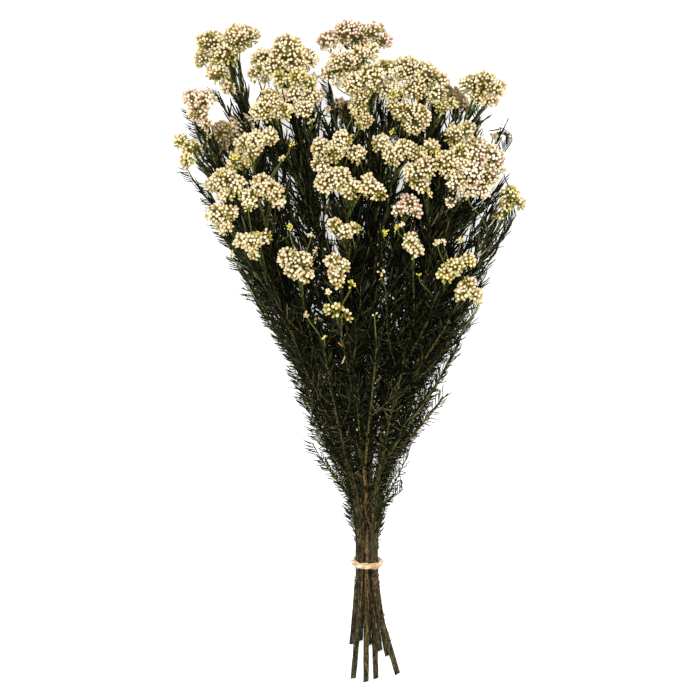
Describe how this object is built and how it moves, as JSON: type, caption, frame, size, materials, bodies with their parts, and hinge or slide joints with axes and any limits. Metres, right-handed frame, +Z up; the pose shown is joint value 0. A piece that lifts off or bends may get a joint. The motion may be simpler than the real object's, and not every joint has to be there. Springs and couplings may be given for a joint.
{
  "type": "dried rice flower bunch",
  "caption": "Bunch of dried rice flower: leafy needle stems with clustered cream flower heads, tied with raffia and lying on its side.",
  "frame": {"origin": "middle of the bunch's box, on the surface that it lies on", "axes": "+Y from the cut ends to the flower heads, +Z up from the surface"},
  "size_m": [0.3165, 0.5954, 0.1598],
  "materials": {
    "stem_and_needles": "dry, dark green needles on brown bark",
    "flower_cream": "matt, papery dried buds",
    "flower_pink": "matt, papery dried buds",
    "flower_green": "matt, papery young buds",
    "flower_dim": "matt, browned papery buds",
    "raffia": "dry twisted raffia with a slight sheen"
  },
  "bodies": {
    "root": {"stem_01": "stem_and_needles", "stem_02": "stem_and_needles", "stem_03": "stem_and_needles", "stem_04": "stem_and_needles", "stem_05": "stem_and_needles", "stem_06": "stem_and_needles", "stem_07": "stem_and_needles", "stem_08": "stem_and_needles", "stem_09": "stem_and_needles", "stem_10": "stem_and_needles", "head_01a": "flower_cream", "head_01b": "flower_cream", "head_01c": "flower_cream", "head_01d": "flower_cream", "head_01e": "flower_cream", "head_01f": "flower_cream", "head_02a": "flower_cream", "head_02b": "flower_cream", "head_02c": "flower_cream", "head_02d": "flower_green", "head_02e": "flower_cream", "head_02f": "flower_pink", "head_03a": "flower_cream", "head_03b": "flower_cream", "head_03c": "flower_pink", "head_03d": "flower_green", "head_03e": "flower_cream", "head_03f": "flower_cream", "head_04a": "flower_pink", "head_04b": "flower_green", "head_04c": "flower_green", "head_05a": "flower_cream", "head_05b": "flower_green", "head_05c": "flower_cream", "head_05d": "flower_cream", "head_06a": "flower_cream", "head_06b": "flower_cream", "head_06c": "flower_cream", "head_06d": "flower_cream", "head_07a": "flower_cream", "head_07b": "flower_cream", "head_07c": "flower_green", "head_07d": "flower_cream", "head_07e": "flower_green", "head_08a": "flower_cream", "head_08b": "flower_dim", "head_08c": "flower_cream", "head_08d": "flower_dim", "head_09a": "flower_pink", "head_09b": "flower_dim", "head_09c": "flower_dim", "head_09d": "flower_cream", "head_09e": "flower_dim", "head_09f": "flower_dim", "head_10a": "flower_dim", "head_10b": "flower_dim", "head_10c": "flower_pink", "head_10d": "flower_dim", "head_10e": "flower_dim", "tie": "raffia"}
  },
  "joints": []
}
